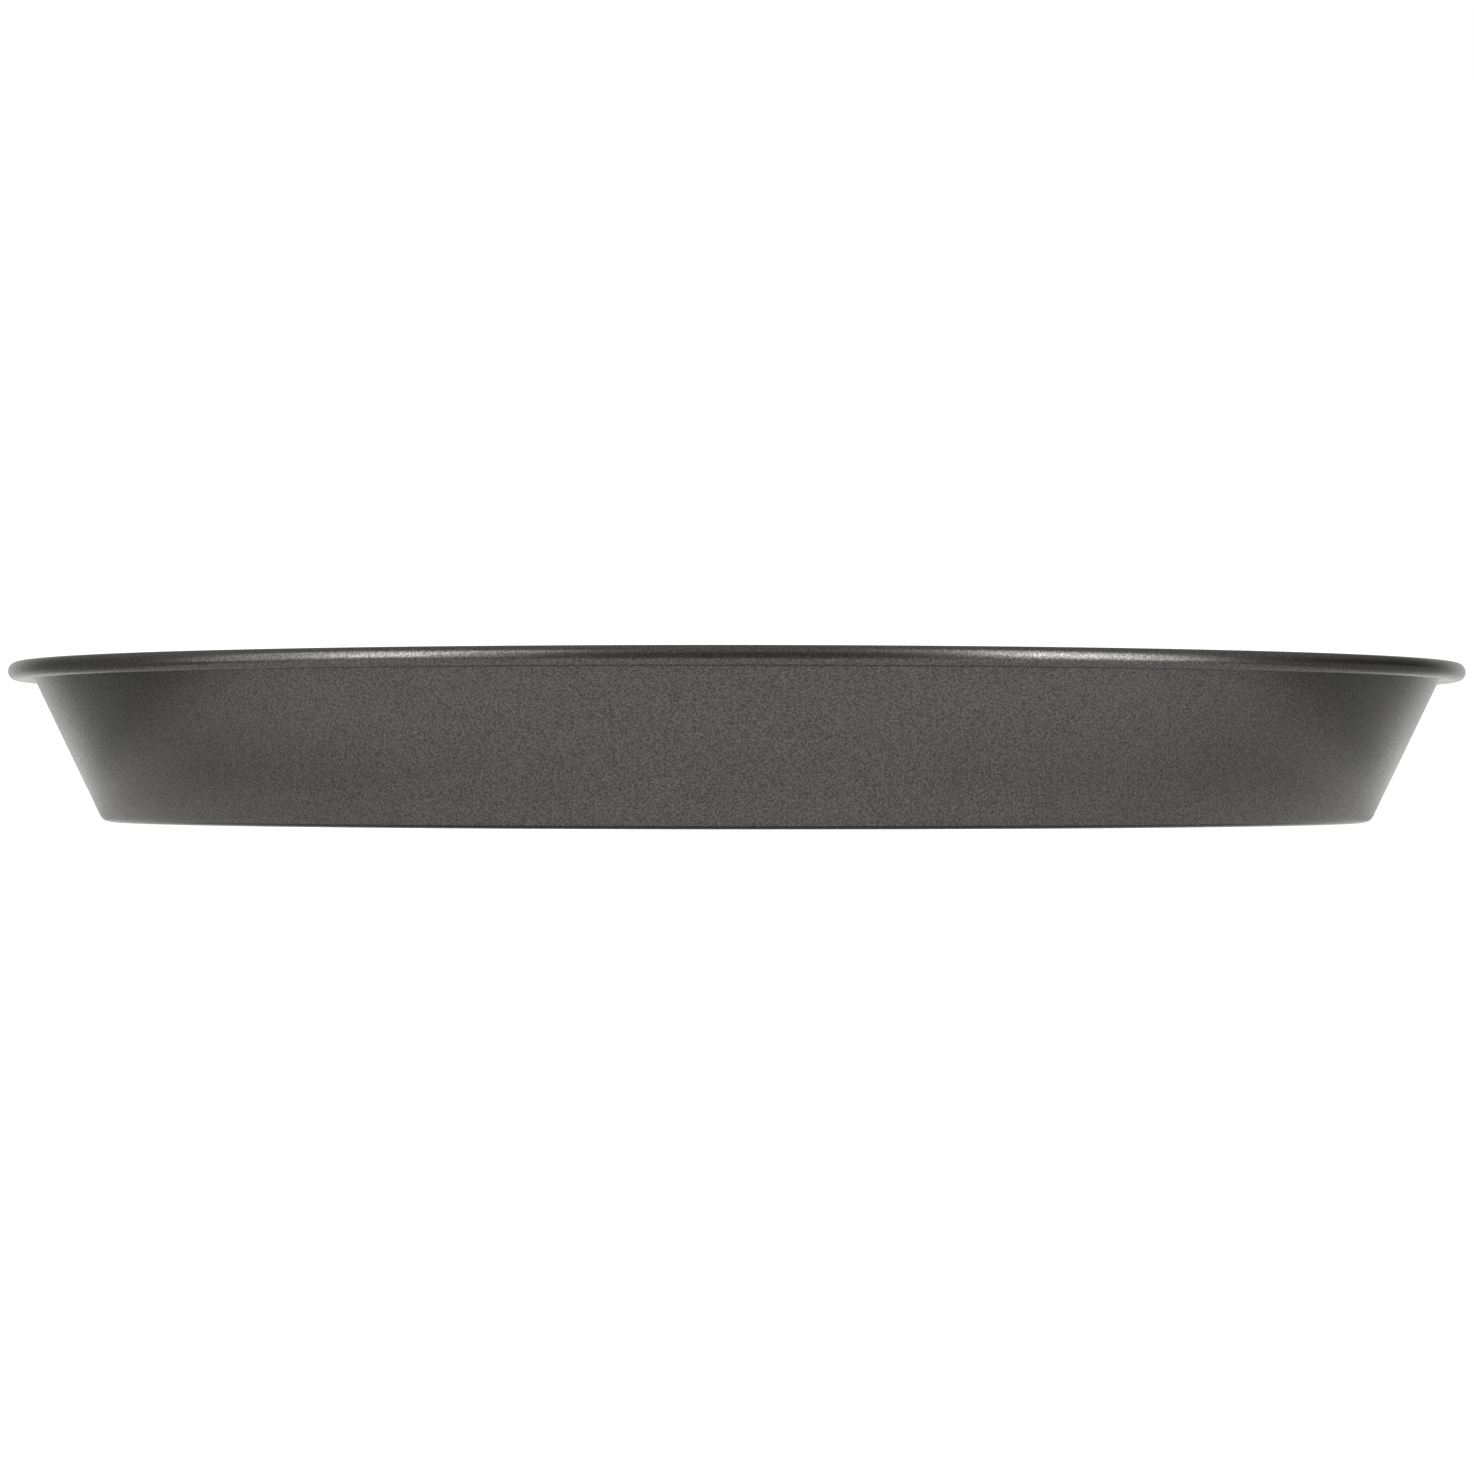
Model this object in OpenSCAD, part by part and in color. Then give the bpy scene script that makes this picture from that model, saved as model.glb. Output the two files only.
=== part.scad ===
// Round deep-dish baking pan with a rolled, wired rim.
// A disc of sheet steel is pressed into a flat floor, a sloping wall and a narrow lip.
// The edge of the lip is curled round a ring of wire, which keeps the rim stiff and round.
// The pan stands on the plane z = 0, and the middle of its underside is the origin.

/* [Pan] */
// Diameter over the rolled rim
rim_d = 355.6; // [280:0.2:420]
// Height from the table to the top of the rim
pan_h = 38.4; // [24:0.1:60]
// Lean of the wall from upright, in degrees
wall_angle = 25.5; // [8:0.5:45]
// Radius of the bottom corner, on the outside of the pan
corner_r = 3; // [1.5:0.1:10]
// Thickness of the sheet steel
sheet_t = 0.5; // [0.4:0.05:0.8]

/* [Rolled rim] */
// Radius under the lip, where the wall bends out into it
bend_r = 3; // [2:0.1:6]
// Flat of the lip, from the end of that bend to the top of the roll
lip_flat = 0.6; // [0.3:0.1:6]
// Angle through which the edge is curled round the wire, from the top of the rim
curl_angle = 290; // [230:1:300]

/* [Rim wire] */
// Diameter of the wire
wire_d = 3; // [2:0.1:3.6]
// Gap between the wire and the curled sheet, all round
wire_clearance = 0.17; // [0.05:0.01:0.3]
// Gap between the two ends of the wire
wire_gap = 1; // [0.4:0.1:5]

/* [Hidden] */

// Steps in a full turn of the pan, and in a full turn of the small arcs of its profile
turn_steps = 180;
arc_steps = 96;

// How far a cutting shape runs past what it cuts
overrun = 1;

// How deep the straight wall bites into the round of each bend, so that the two cross
// in a clean edge and don't only touch
bite = 0.003;

// The roll: radius of its bore, radius of its outside, and its middle
curl_bore_r = wire_d / 2 + wire_clearance;
curl_r = curl_bore_r + sheet_t;
curl_middle = [rim_d / 2 - curl_r, pan_h - curl_r];

// Height of the underside of the lip, and the middle of the bend below it
lip_under_z = pan_h - sheet_t;
bend_middle = [curl_middle[0] - lip_flat, lip_under_z - bend_r];

// Each bend ends this many of its radii away from the sharp corner that it rounds off
tangent_share = tan((90 - wall_angle) / 2);

// Sharp corners on the outside of the wall, under the lip and at the table, in a line
// that leans at the wall's angle, and the middle of the bottom corner's round
lip_corner = [bend_middle[0] - bend_r * tangent_share, lip_under_z];
base_corner = [lip_corner[0] - lip_under_z * tan(wall_angle), 0];
corner_middle = [base_corner[0] - corner_r * tangent_share, corner_r];

// Direction square to the wall, pointing out and down
wall_outwards = [cos(wall_angle), -sin(wall_angle)];

// A slice that cuts an arc out of a ring goes in steps of a quarter turn at most,
// and reaches twice the ring's radius
slice_step = 90;
slice_reach_share = 2;

// Part of a turn that the gap between the ends of the wire takes up, in degrees
wire_gap_angle = wire_gap / curl_middle[0] * 180 / PI;

// Slice of the plane between two angles, which reaches past radius r
module slice(r, from_angle, to_angle)
{
  steps = ceil((to_angle - from_angle) / slice_step);
  step_angle = (to_angle - from_angle) / steps;
  angles = [for (i = [0:steps]) from_angle + i * step_angle];
  far_points = [for (a = angles) slice_reach_share * r * [cos(a), sin(a)]];
  polygon(concat([[0, 0]], far_points));
}

// Everything below one face of the pressed sheet, from the axis to the top of the roll.
// The face lies at the height up above the outside of the pan, measured through the sheet.
// The bottom corner is a round taken out of the sharp form, and the lip's bend a round added.
module below_face(up)
{
  corner_round = corner_r - up;
  bend_round = bend_r + up;
  lip_z = lip_under_z + up;
  difference()
  {
    union()
    {
      polygon([
        [0, -overrun],
        [curl_middle[0], -overrun],
        [curl_middle[0], lip_z],
        [bend_middle[0], lip_z],
        bend_middle,
        bend_middle - (bend_round - bite) * wall_outwards,
        corner_middle + (corner_round - bite) * wall_outwards,
        corner_middle,
        [corner_middle[0], up],
        [0, up]
      ]);
      translate(bend_middle)
        intersection()
        {
          circle(r = bend_round, $fn = arc_steps);
          slice(bend_round, 90, 180);
        }
    }
    translate(corner_middle)
      circle(r = corner_round, $fn = arc_steps);
  }
}

// The pressed sheet without its roll: floor, corner, wall, bend and lip, all of one thickness
module pressed_profile()
{
  difference()
  {
    below_face(sheet_t);
    below_face(0);
  }
}

// The roll: the edge of the lip goes over, down and back in round the wire, and up again inside
module curl_profile()
{
  translate(curl_middle)
    intersection()
    {
      difference()
      {
        circle(r = curl_r, $fn = arc_steps);
        circle(r = curl_bore_r, $fn = arc_steps);
      }
      slice(curl_r, 90 - curl_angle, 90);
    }
}

// The pan, one sheet of even thickness from the floor to the raw edge in the roll
module pan_shell()
{
  color([0.33, 0.325, 0.31])
    rotate_extrude($fn = turn_steps)
    {
      pressed_profile();
      curl_profile();
    }
}

// Ring of wire in the roll, with its two ends a small gap apart at the back of the pan
module rim_wire()
{
  color([0.62, 0.62, 0.6])
    rotate([0, 0, 90 + wire_gap_angle / 2])
      rotate_extrude(angle = 360 - wire_gap_angle, $fn = turn_steps)
        translate(curl_middle)
          circle(d = wire_d, $fn = arc_steps);
}

pan_shell();
rim_wire();
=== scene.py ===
# %% [markdown]
# # A deep round baking pan with a wired rim
#
# The pan is one disc of sheet steel, pressed into a flat floor, a leaning wall and a narrow lip.
# The edge of the lip is rolled round a ring of wire, and the whole sheet is coated dark grey.
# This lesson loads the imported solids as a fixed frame, turns the sheet and the wire again as fine,
# smooth surfaces, gives them their finishes, and sets up a small product studio round them.

import bpy
import numpy as np
from mathutils import Matrix, Vector


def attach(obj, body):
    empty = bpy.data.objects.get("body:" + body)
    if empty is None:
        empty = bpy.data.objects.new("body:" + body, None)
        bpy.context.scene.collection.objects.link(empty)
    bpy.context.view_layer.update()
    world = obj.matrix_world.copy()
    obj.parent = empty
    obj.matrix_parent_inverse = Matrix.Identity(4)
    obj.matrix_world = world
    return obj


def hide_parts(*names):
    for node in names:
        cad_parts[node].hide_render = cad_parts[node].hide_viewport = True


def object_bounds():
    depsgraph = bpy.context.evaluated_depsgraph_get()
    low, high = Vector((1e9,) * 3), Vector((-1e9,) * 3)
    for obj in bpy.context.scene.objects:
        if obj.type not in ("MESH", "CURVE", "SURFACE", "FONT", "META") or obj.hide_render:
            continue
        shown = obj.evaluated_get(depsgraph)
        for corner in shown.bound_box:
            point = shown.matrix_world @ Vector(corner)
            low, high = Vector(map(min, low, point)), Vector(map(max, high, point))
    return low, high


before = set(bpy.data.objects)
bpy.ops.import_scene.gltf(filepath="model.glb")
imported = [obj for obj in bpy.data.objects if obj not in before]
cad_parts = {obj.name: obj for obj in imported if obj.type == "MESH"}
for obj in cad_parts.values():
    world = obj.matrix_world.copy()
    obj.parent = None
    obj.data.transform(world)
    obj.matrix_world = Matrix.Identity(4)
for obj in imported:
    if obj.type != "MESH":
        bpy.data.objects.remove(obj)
cad_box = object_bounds()
box_in_mm = [[round(1000 * c, 2) for c in corner] for corner in cad_box]
print("solids:", sorted(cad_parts), "box in mm:", box_in_mm)

# %% [markdown]
# ## The camera
#
# The pan is seen from just above the table, so its rim is almost a straight line, and the underside of
# the roll shows at the two ends. How strongly the rim and the base curve in the picture gives the
# distance, and the height at which a ring would look flat gives the height of the lens. The lens stands
# lower than the middle of the pan, and an upward tilt of half a degree brings the pan to the middle of
# the picture.

# %% Place the camera
PICTURE = 1474  # pixels along each side of the picture
FOCAL = 4234.9  # focal length in pixels
LENS_BACK = 1.0480  # from the pan's axis to the lens
LENS_HEIGHT = 0.01251
HORIZON_BELOW_MIDDLE = 33.42  # pixels
AXIS_LEFT_OF_MIDDLE = 0.20  # pixels
CAMERA_LEAN = 0.0008  # radians, round the camera's own line of view
SENSOR = 36  # mm
NEAREST = 0.05
FARTHEST = 50

camera_data = bpy.data.cameras.new("product_camera")
camera_data.sensor_width = SENSOR
camera_data.lens = SENSOR * FOCAL / PICTURE
camera_data.clip_start = NEAREST
camera_data.clip_end = FARTHEST
camera = bpy.data.objects.new("product_camera", camera_data)
bpy.context.scene.collection.objects.link(camera)
bpy.context.scene.camera = camera
spot = Matrix.Translation((0, -LENS_BACK, LENS_HEIGHT))
turn = Matrix.Rotation(-AXIS_LEFT_OF_MIDDLE / FOCAL, 4, "Z")
tip = Matrix.Rotation(np.pi / 2 + HORIZON_BELOW_MIDDLE / FOCAL, 4, "X")
camera.matrix_world = spot @ turn @ tip @ Matrix.Rotation(CAMERA_LEAN, 4, "Z")
print("lens in mm:", round(camera_data.lens, 2))

# %% [markdown]
# ## The sheet
#
# A pan like this is drawn in a press, so every section through its axis is the same. That makes it a
# surface of revolution: a profile in the plane (r, z), turned once round the Z axis. The profile is one
# closed line. It runs along the underside, up the outside of the wall, over the bend under the lip,
# round the bore of the roll to the raw edge, back round the outside of the roll, and down the inside of
# the pan to the axis again. Blender's Screw modifier could turn a drawn line too. Here numpy works the
# line out from the same lengths as in the solids, in metres, so every arc has its true radius.

# %% Lengths of the sheet and the roll
MM = 0.001
RIM_R = 177.8 * MM
PAN_H = 38.4 * MM
WALL_LEAN = 25.5  # degrees from upright
CORNER_R = 3 * MM
SHEET_T = 0.5 * MM
BEND_R = 3 * MM
LIP_FLAT = 0.6 * MM
CURL_TURN = 290  # degrees of sheet round the wire, from the top of the rim
WIRE_R = 1.5 * MM
WIRE_CLEARANCE = 0.17 * MM
WIRE_GAP = 1 * MM

BORE_R = WIRE_R + WIRE_CLEARANCE
ROLL_R = BORE_R + SHEET_T
roll_middle = np.array([RIM_R - ROLL_R, PAN_H - ROLL_R])
bend_middle = np.array([roll_middle[0] - LIP_FLAT, PAN_H - SHEET_T - BEND_R])
lean = np.radians(WALL_LEAN)
round_off = np.tan((np.pi / 2 - lean) / 2)  # tangent length of a rounded corner, as a share of its radius
base_r = bend_middle[0] - BEND_R * round_off - (PAN_H - SHEET_T) * np.tan(lean)
corner_middle = np.array([base_r - CORNER_R * round_off, CORNER_R])
print("radius of the base in mm:", round(1000 * base_r, 2))


# %% Helpers for a profile
def bend(middle, radius, start, end, steps):
    """Points on an arc: middle + radius * (cos a, sin a), where a runs evenly from start to end degrees."""
    a = np.radians(np.linspace(start, end, steps + 1))
    return middle + radius * np.stack([np.cos(a), np.sin(a)], axis=1)


def straight(start, end, steps):
    """Points between start and end, evenly spaced, without the two ends: start + (end - start) * s."""
    s = np.linspace(0, 1, steps + 1)[1:-1, None]
    return np.asarray(start) + (np.asarray(end) - np.asarray(start)) * s


# %% The raw edge
EDGE_R = SHEET_T / 2  # the raw edge is rounded over by the coating
mid_roll_r = BORE_R + EDGE_R
edge_at = 90 - CURL_TURN + np.degrees(EDGE_R / mid_roll_r)
edge_middle = bend(roll_middle, mid_roll_r, edge_at, edge_at, 0)[0]
print("middle of the raw edge in mm:", np.round(1000 * edge_middle, 2))

# %% The profile of the sheet
WALL_SIDE = -WALL_LEAN  # where the round of the bottom corner meets the wall, in degrees
BEND_SIDE = 180 - WALL_LEAN  # where the wall meets the bend under the lip
BASE_STEPS = 9
WALL_STEPS = 10
OUTSIDE_CORNER_STEPS = 14
INSIDE_CORNER_STEPS = 10
BEND_STEPS = 12
BORE_STEPS = 30
EDGE_STEPS = 6
ROLL_STEPS = 60

outside_corner = bend(corner_middle, CORNER_R, -90, WALL_SIDE, OUTSIDE_CORNER_STEPS)
under_bend = bend(bend_middle, BEND_R, BEND_SIDE, 90, BEND_STEPS)
bore = bend(roll_middle, BORE_R, 90, edge_at, BORE_STEPS)
raw_edge = bend(edge_middle, EDGE_R, edge_at - 180, edge_at - 360, EDGE_STEPS)[1:-1]
roll = bend(roll_middle, ROLL_R, edge_at, 90, ROLL_STEPS)
over_bend = bend(bend_middle, BEND_R + SHEET_T, 90, BEND_SIDE, BEND_STEPS)
inside_corner = bend(corner_middle, CORNER_R - SHEET_T, WALL_SIDE, -90, INSIDE_CORNER_STEPS)
profile = np.concatenate(
    [
        straight([0, 0], outside_corner[0], BASE_STEPS),
        outside_corner,
        straight(outside_corner[-1], under_bend[0], WALL_STEPS),
        under_bend,
        bore,
        raw_edge,
        roll,
        over_bend,
        straight(over_bend[-1], inside_corner[0], WALL_STEPS),
        inside_corner,
        straight(inside_corner[-1], [0, SHEET_T], BASE_STEPS),
    ]
)
print("points in the profile:", len(profile))


# %% Points and faces of a turned surface
def swung(r, z, a):
    """Points x = r cos a, y = r sin a, z = z, from arrays of radii, heights and angles in radians."""
    return np.stack(np.broadcast_arrays(r * np.cos(a), r * np.sin(a), z), axis=-1).reshape(-1, 3)


def grid_faces(rows, columns, first):
    """Quads between neighbouring rows of a grid that closes on itself along its columns."""
    row, column = np.meshgrid(np.arange(rows - 1), np.arange(columns), indexing="ij")
    here = first + row * columns + column
    beside = first + row * columns + (column + 1) % columns
    return np.stack([here, beside, beside + columns, here + columns], axis=-1).reshape(-1, 4)


def fan_faces(tip, first, columns, turned_over=False):
    """Triangles from the point tip to each pair of neighbours in the closed row that starts at first.
    They face the other way where they are turned over."""
    here = first + np.arange(columns)
    beside = first + (np.arange(columns) + 1) % columns
    pair = [beside, here] if turned_over else [here, beside]
    return np.stack([np.full(columns, tip), *pair], axis=1)


def piece_from(name, points, *faces):
    """A smooth mesh from an array of points and arrays of faces, at the origin, unturned and unscaled."""
    mesh = bpy.data.meshes.new(name)
    mesh.from_pydata(points, [], [face for array in faces for face in array.tolist()])
    mesh.polygons.foreach_set("use_smooth", np.ones(len(mesh.polygons), bool))
    mesh.update()
    mesh.validate()
    piece = bpy.data.objects.new(name, mesh)
    bpy.context.scene.collection.objects.link(piece)
    print(name, "faces:", len(mesh.polygons))
    return piece


# %% The pan
TURN_STEPS = 480


def turned(name, line, pole_under, pole_over):
    """x = r cos a, y = r sin a, z = z for each point (r, z) of the line, with a once round in even steps.
    The two ends are closed on the axis, each by a fan of triangles about one point."""
    a = np.linspace(0, 2 * np.pi, TURN_STEPS, endpoint=False)
    rings = swung(line[:, 0, None], line[:, 1, None], a)
    points = np.concatenate([[[0, 0, pole_under]], rings, [[0, 0, pole_over]]])
    sides = grid_faces(len(line), TURN_STEPS, 1)
    under = fan_faces(0, 1, TURN_STEPS, turned_over=True)
    over = fan_faces(len(points) - 1, 1 + (len(line) - 1) * TURN_STEPS, TURN_STEPS)
    return piece_from(name, points, sides, under, over)


pan = turned("pan_sheet", profile, 0.0, SHEET_T)
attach(pan, "root")
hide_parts("pan_shell")

# %% [markdown]
# ## The wire
#
# The wire is a plain steel ring in the bore of the roll, cut once, with its two ends a small gap apart at
# the back. Only a thin line of it shows, in the slot between the raw edge and the wall. It is a circle
# carried along an arc, and each end closes in a few small steps to a point, as a cropped end does once
# its burr is taken off. A curve with a round bevel would give the same ring, but with flat, sharp ends.

# %% The ring of wire
ALONG_STEPS = 361
ROUND_STEPS = 28
END_WIDTH = np.array([0.5, 0.85, 1.0])  # the wire's radius near an end, as a share of its full radius
END_INSET = np.array([0, 0.03, 0.12])  # how far from the end each of those is, in radii of the wire


def wire_ring(name, middle, radius, gap):
    """Point (a, b): the ring's radius is middle_r + w cos b and its height middle_z + w sin b, turned by a.
    The wire's own radius w is the full one along the ring, and narrows at the two ends, each of which a
    fan of triangles closes."""
    half = np.pi - gap / middle[0] / 2
    inset = END_INSET * radius / middle[0]
    between = np.linspace(-half, half, ALONG_STEPS)[1:-1]
    a = np.concatenate([-half + inset, between, half - inset[::-1]])[:, None] - np.pi / 2
    w = radius * np.concatenate([END_WIDTH, np.ones(len(between)), END_WIDTH[::-1]])[:, None]
    b = np.linspace(0, 2 * np.pi, ROUND_STEPS, endpoint=False)
    skin = swung(middle[0] + w * np.cos(b), middle[1] + w * np.sin(b), a)
    points = np.concatenate([swung(middle[0], middle[1], a[[0, -1], 0]), skin])
    sides = grid_faces(len(a), ROUND_STEPS, 2)[:, ::-1]
    first_end = fan_faces(0, 2, ROUND_STEPS)
    last_end = fan_faces(1, 2 + (len(a) - 1) * ROUND_STEPS, ROUND_STEPS, turned_over=True)
    return piece_from(name, points, sides, first_end, last_end)


wire = wire_ring("wire_ring", roll_middle, WIRE_R, WIRE_GAP)
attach(wire, "root")
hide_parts("rim_wire")


# %% [markdown]
# ## Helpers for finishes
#
# A finish is a node tree. A small class makes the nodes, so that the cells that build one stay short.


# %% A helper for node trees
class Finish:
    """Makes nodes in a tree and joins them: node(kind, settings, inputs) gives back the new node."""

    def __init__(self, tree):
        self.tree = tree
        tree.nodes.clear()

    def node(self, kind, settings=None, inputs=None):
        """An input is joined where its value is another node's output, and set where it is a number."""
        made = self.tree.nodes.new(kind)
        for name, value in (settings or {}).items():
            setattr(made, name, value)
        for name, value in (inputs or {}).items():
            if isinstance(value, bpy.types.NodeSocket):
                self.tree.links.new(value, made.inputs[name])
            else:
                made.inputs[name].default_value = value
        return made

    def math(self, operation, *values):
        """One Math node: the operation on one or two values."""
        return self.node("ShaderNodeMath", {"operation": operation}, dict(enumerate(values))).outputs[0]

    def ramp(self, value, low, high, to_low=0.0, to_high=1.0, smooth=True):
        """The value, carried from the range low..high to to_low..to_high, and held at the ends."""
        kind = "SMOOTHSTEP" if smooth else "LINEAR"
        inputs = {"Value": value, "From Min": low, "From Max": high, "To Min": to_low, "To Max": to_high}
        return self.node("ShaderNodeMapRange", {"interpolation_type": kind}, inputs).outputs[0]

    def noise(self, place, scale, detail, distortion=0.0):
        """Noise between 0 and 1, with this many hills to the metre."""
        inputs = {"Vector": place, "Scale": scale, "Detail": detail, "Distortion": distortion}
        return self.node("ShaderNodeTexNoise", None, inputs).outputs["Fac"]

    def blend(self, share, first, second):
        """The first colour where the share is 0, and the second where it is 1."""
        return self.node("ShaderNodeMix", {"data_type": "RGBA"}, {0: share, 6: first, 7: second}).outputs[2]

    def bump(self, height, strength, distance):
        """Normals of a surface with hills of this distance from foot to top."""
        inputs = {"Height": height, "Strength": strength, "Distance": distance}
        return self.node("ShaderNodeBump", None, inputs).outputs[0]


def new_finish(name):
    """A new material and the Finish that builds its tree."""
    material = bpy.data.materials.new(name)
    material.use_nodes = True
    return material, Finish(material.node_tree)


# %% [markdown]
# ## The coating
#
# The sheet is sprayed with a dark non-stick coating that holds fine metal flakes, and baked. Straight on it
# reflects about a tenth of the light, with a warm tint, and along the edge nearly all of it, so the wall
# fades to white at its two sides. That is a very dark metal, with a little plain tone left. The flakes and
# the hills of the sprayed film make a worm-like grain, about half a millimetre wide, which shows on the
# wall and breaks up the highlights on the roll. The tone also wanders a little from place to place. The
# grain is noise on Object coordinates, which stays in its place on the pan and never repeats.

# %% The coated steel
DARK_FLAKES = (0.0675, 0.0655, 0.0607, 1)
PALE_FLAKES = (0.1350, 0.1310, 0.1220, 1)
FILM_METAL = 0.9
GRAIN = 2350.0  # hills to the metre
GRAIN_TWIST = 0.2  # bends the hills
FINE_GRAIN = 2.2 * GRAIN
GRAIN_SHARE = 0.85
FINE_SHARE = 0.15
SPECKLE = (0.33, 0.67)  # the grain's values from the darkest flakes to the palest
CLOUDS = 60.0  # drifts of tone to the metre
DRIFT = (0.3, 0.7, -0.05, 0.05)  # the clouds' values, and the tones that they add
SHEEN = (0.3, 0.7, 0.32, 0.26)  # the grain's values, and the roughness there
HILL = 0.00006  # height of the hills
HILL_STRENGTH = 0.12

coat, c = new_finish("coated_steel")
place = c.node("ShaderNodeTexCoord").outputs["Object"]
grain = c.noise(place, GRAIN, 0.0, GRAIN_TWIST)
fine = c.noise(place, FINE_GRAIN, 1.0)
cloud = c.noise(place, CLOUDS, 3.0)
speckle = c.math("ADD", c.math("MULTIPLY", grain, GRAIN_SHARE), c.math("MULTIPLY", fine, FINE_SHARE))
tone = c.math("ADD", c.ramp(speckle, *SPECKLE, smooth=False), c.ramp(cloud, *DRIFT, smooth=False))
film_look = {
    "Base Color": c.blend(tone, DARK_FLAKES, PALE_FLAKES),
    "Metallic": FILM_METAL,
    "Roughness": c.ramp(speckle, *SHEEN, smooth=False),
    "Normal": c.bump(speckle, HILL_STRENGTH, HILL),
}
film = c.node("ShaderNodeBsdfPrincipled", None, film_look)
c.node("ShaderNodeOutputMaterial", None, {"Surface": film.outputs[0]})
pan.data.materials.append(coat)
print("nodes in the coating:", len(coat.node_tree.nodes))

# %% [markdown]
# ## The wire's finish
#
# The wire is drawn steel, bare under the roll: bright, with fine marks from the die and a faint brown
# bloom where moisture got in. One coarse noise places the bloom and dulls the steel there, and one fine
# noise makes the marks.

# %% The bare wire
CLEAN_STEEL = (0.55, 0.55, 0.53, 1)
BROWN_STEEL = (0.30, 0.25, 0.20, 1)
BLOOMS = 180.0  # patches of bloom to the metre
BLOOM = (0.45, 0.75)  # the noise's values from clean steel to full bloom
DULL = (0.3, 0.75, 0.28, 0.5)  # the noise's values, and the roughness there
MARKS = 5000.0  # marks to the metre
MARK_DEPTH = 0.00002
MARK_STRENGTH = 0.3

bare, w = new_finish("bare_wire")
place = w.node("ShaderNodeTexCoord").outputs["Object"]
bloom = w.noise(place, BLOOMS, 4.0)
steel_look = {
    "Base Color": w.blend(w.ramp(bloom, *BLOOM), CLEAN_STEEL, BROWN_STEEL),
    "Metallic": 1.0,
    "Roughness": w.ramp(bloom, *DULL),
    "Normal": w.bump(w.noise(place, MARKS, 1.0), MARK_STRENGTH, MARK_DEPTH),
}
steel = w.node("ShaderNodeBsdfPrincipled", None, steel_look)
w.node("ShaderNodeOutputMaterial", None, {"Surface": steel.outputs[0]})
wire.data.materials.append(bare)
print("nodes in the wire's finish:", len(bare.node_tree.nodes))

# %% [markdown]
# ## The table
#
# The camera sees a plain white floor everywhere, with the pan's soft shadow. The coating is so dark that
# most of what it shows is a reflection, so the floor is more than that: for every other ray it is a small
# white table, with soft edges, and beyond them it lets the rays through to the room and the lamps below
# its level. Reflections see the table a little brighter toward the back, as a white background shows,
# and close round the base, where the shadow would otherwise darken the foot of the wall. The floor is a
# wide ring, open under the pan's base and clear from below, so that the underside can be looked at too.

# %% The floor
FLOOR_STEPS = 180
FLOOR_RINGS = np.array([base_r, 0.5, 2.0])  # radii of its rings of points

a = np.linspace(0, 2 * np.pi, FLOOR_STEPS, endpoint=False)
rings = swung(FLOOR_RINGS[:, None], 0.0, a)
floor = piece_from("floor", rings, grid_faces(len(FLOOR_RINGS), FLOOR_STEPS, 0)[:, ::-1])

# %% Where the table is
TABLE_FRONT = (-0.236, -0.220)  # Y from where the table starts to where it is fully there
TABLE_SIDE = (0.201, 0.150)  # the same for the distance from the middle plane
TABLE_BACK = (-0.129, 0.131)  # Y over which the background joins the table
BACK_SIDE = (0.271, 0.120)  # the background's sides, as the distance from the middle plane

white, f = new_finish("white_table")
place = f.node("ShaderNodeTexCoord").outputs["Object"]
where = f.node("ShaderNodeSeparateXYZ", None, {0: place})
away = f.node("ShaderNodeVectorMath", {"operation": "LENGTH"}, {0: place}).outputs["Value"]
off_middle = f.math("ABSOLUTE", where.outputs[0])
in_front = f.math("MULTIPLY", f.ramp(where.outputs[1], *TABLE_FRONT), f.ramp(off_middle, *TABLE_SIDE))
at_back = f.ramp(where.outputs[1], *TABLE_BACK)
table = f.math("MAXIMUM", in_front, f.math("MULTIPLY", at_back, f.ramp(off_middle, *BACK_SIDE)))
print("nodes that place the table:", len(white.node_tree.nodes))

# %% What the table adds to its own shade of white
FRONT_GLOW = 0.100  # for reflections, in front of the pan
SIDE_GLOW = 0.08  # share of the front glow that is left at the sides
GLOW_SIDE = (0.164, 0.098)  # distance from the middle plane, from the sides to the full front glow
BASE_GLOW = 0.22  # close round the base
BASE_GLOW_REACH = (0.155, 0.175)  # distance from the axis over which that one fades out
BACK_GLOW = 0.85
WHITE_REACH = (0.5, 1.2)  # distance from the axis over which the camera's share grows
WHITE_SHARE = (0.6, 1.0)  # of plain white for the camera: near the pan, and far from it

path = f.node("ShaderNodeLightPath")
seen = path.outputs["Is Camera Ray"]
base_glow = f.ramp(away, *BASE_GLOW_REACH, BASE_GLOW, 0.0)
front_glow = f.ramp(off_middle, *GLOW_SIDE, FRONT_GLOW * SIDE_GLOW, FRONT_GLOW)
back_glow = f.math("MULTIPLY", at_back, BACK_GLOW)
glow = f.math("MAXIMUM", f.math("ADD", base_glow, front_glow), back_glow)
plain_white = f.math("MULTIPLY", seen, f.ramp(away, *WHITE_REACH, *WHITE_SHARE))
own_light = f.math("ADD", plain_white, f.math("MULTIPLY", path.outputs["Is Glossy Ray"], glow))
print("nodes with the table's own light:", len(white.node_tree.nodes))

# %% The white table
MATT_WHITE = (0.85, 0.85, 0.85, 1)

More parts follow.
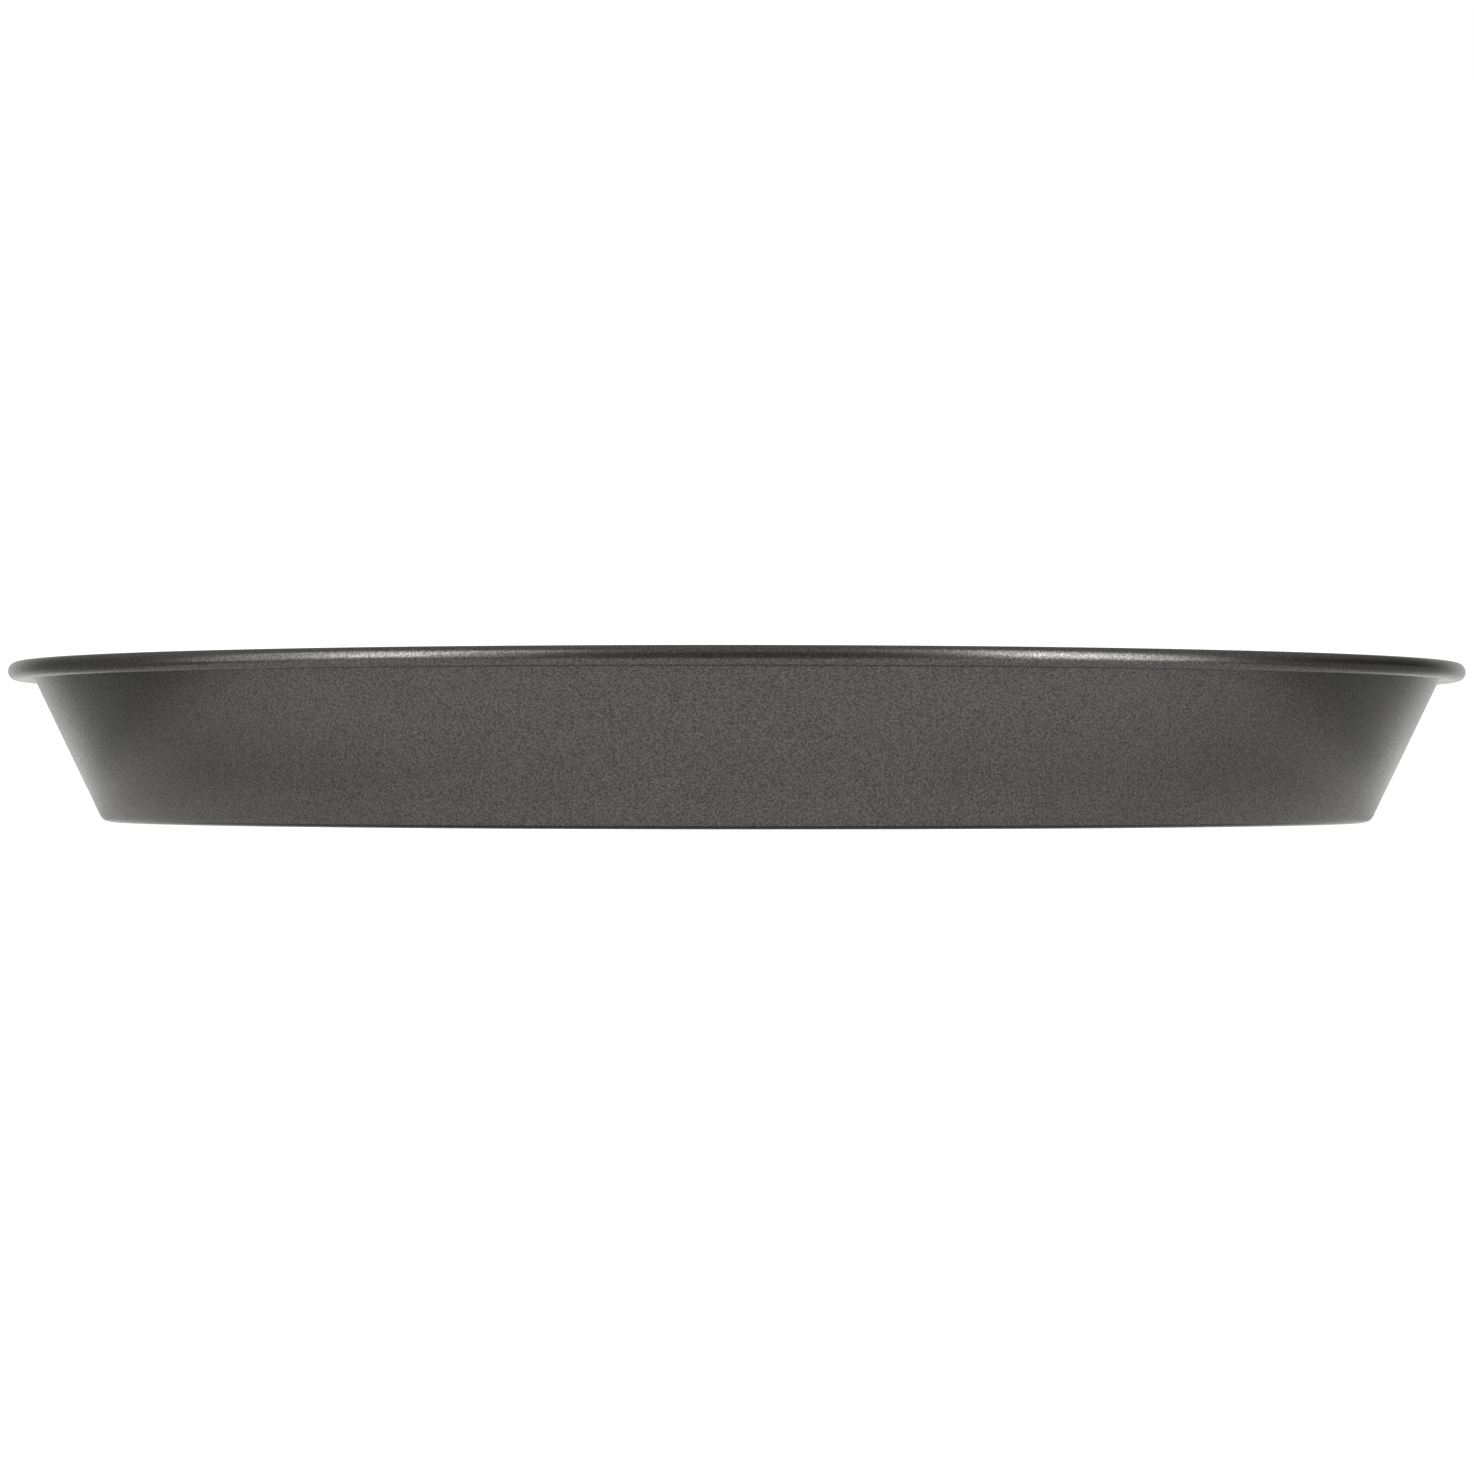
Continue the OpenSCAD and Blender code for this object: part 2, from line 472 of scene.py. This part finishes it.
matt = f.node("ShaderNodeBsdfDiffuse", None, {"Color": MATT_WHITE})
lit = f.node("ShaderNodeEmission", None, {"Strength": own_light})
both = f.node("ShaderNodeAddShader", None, {0: matt.outputs[0], 1: lit.outputs[0]})
open_air = f.node("ShaderNodeBsdfTransparent")
from_above = f.math("SUBTRACT", 1.0, f.node("ShaderNodeNewGeometry").outputs["Backfacing"])
shown = f.math("MULTIPLY", f.math("MAXIMUM", seen, table), from_above)
surface = f.node("ShaderNodeMixShader", None, {0: shown, 1: open_air.outputs[0], 2: both.outputs[0]})
f.node("ShaderNodeOutputMaterial", None, {"Surface": surface.outputs[0]})
white.cycles.emission_sampling = "NONE"
floor.data.materials.append(white)
print("nodes in the table:", len(white.node_tree.nodes))

# %% [markdown]
# ## The room
#
# For the camera the background is plain white. For everything else the room is dim, a little lighter on
# the left and overhead, apart from the white sweep behind the pan. Each of these is a ramp on the
# direction of the ray, so that each can be changed alone, which a ready-made picture of a studio
# doesn't allow.

# %% The world
UNDER = 0.228  # below the table's level
WALLS = (0.17, 0.0)  # low on the walls, from the left to the right
WALLS_SIDE = (-0.9, 0.6)  # how far to the right a ray points over which they change
CEILING = 0.48
CEILING_FROM = (0.2, 0.9)  # height of a ray over which the walls turn into the ceiling
SWEEP = 1.2
SWEEP_TOP = (0.504, 0.05)  # height of a ray over which the sweep gets its full white
SWEEP_SIDE = (0.678, 0.996)  # how far to the back a ray points over which it does

world = bpy.data.worlds.new("studio_room")
bpy.context.scene.world = world
world.use_nodes = True
r = Finish(world.node_tree)
look = r.node("ShaderNodeSeparateXYZ", None, {0: r.node("ShaderNodeTexCoord").outputs["Generated"]})
right, back, up = look.outputs
above = r.math("GREATER_THAN", up, 0.0)
walls = r.math("MULTIPLY", above, r.ramp(up, *CEILING_FROM, r.ramp(right, *WALLS_SIDE, *WALLS), CEILING))
dim = r.math("ADD", walls, r.math("MULTIPLY", r.math("SUBTRACT", 1.0, above), UNDER))
sweep = r.math("MULTIPLY", r.ramp(up, *SWEEP_TOP), r.ramp(back, *SWEEP_SIDE))
room = r.math("MAXIMUM", dim, r.math("MULTIPLY", sweep, SWEEP))
strength = r.math("MAXIMUM", room, r.node("ShaderNodeLightPath").outputs["Is Camera Ray"])
sky = r.node("ShaderNodeBackground", None, {"Color": (1, 1, 1, 1), "Strength": strength})
r.node("ShaderNodeOutputWorld", None, {"Surface": sky.outputs[0]})
print("nodes in the room:", len(world.node_tree.nodes))

# %% [markdown]
# ## The lamps
#
# Two tall soft boxes stand in front of the pan, left and right. Their reflections are the two highlights
# on the roll. A soft box isn't even: it is brightest at its core and changes towards its top. So each
# side is built from three plain lamps: the box, a top above it, and a narrow core that adds its own
# light to a part of the box.

# %% The lamps
LAMP_AWAY = 2.2
LAMPS = {  # azimuth in degrees, low and high edge, width, brightness
    "left_box": (-60.0, -0.49, 1.60, 2.30, 1.50),
    "left_box_top": (-60.0, 1.60, 3.02, 2.30, 2.79),
    "right_box": (54.8, -0.61, 2.55, 1.13, 4.70),
    "right_box_top": (54.8, 2.55, 4.15, 1.13, 3.08),
    "left_core": (-53.4, 0.06, 1.76, 0.67, 6.10),
    "right_core": (47.3, 0.12, 1.46, 0.58, 5.60),
}


def soft_box(name, azimuth, low, high, wide, brightness):
    """A standing rectangle from the height low to high that faces the pan's axis. The azimuth runs from
    the camera's side towards the right. An even face shines with brightness * pi * its area in watts."""
    a = np.radians(azimuth)
    outwards = Vector((np.sin(a), -np.cos(a), 0))
    lamp = bpy.data.lights.new(name, "AREA")
    lamp.shape = "RECTANGLE"
    lamp.size = wide
    lamp.size_y = high - low
    lamp.energy = brightness * np.pi * wide * (high - low)
    box = bpy.data.objects.new(name, lamp)
    bpy.context.scene.collection.objects.link(box)
    spot = LAMP_AWAY * outwards + Vector((0, 0, (low + high) / 2))
    box.matrix_world = Matrix.Translation(spot) @ outwards.to_track_quat("Z", "Y").to_matrix().to_4x4()
    box.visible_camera = False
    print(name, "watts:", round(lamp.energy, 1))


for name, measures in LAMPS.items():
    soft_box(name, *measures)

# %% [markdown]
# ## Colours as they are written
#
# The view transform is plain, so a colour shows as it is set.

# %% View transform
bpy.context.scene.view_settings.view_transform = "Standard"
print("view transform:", bpy.context.scene.view_settings.view_transform)
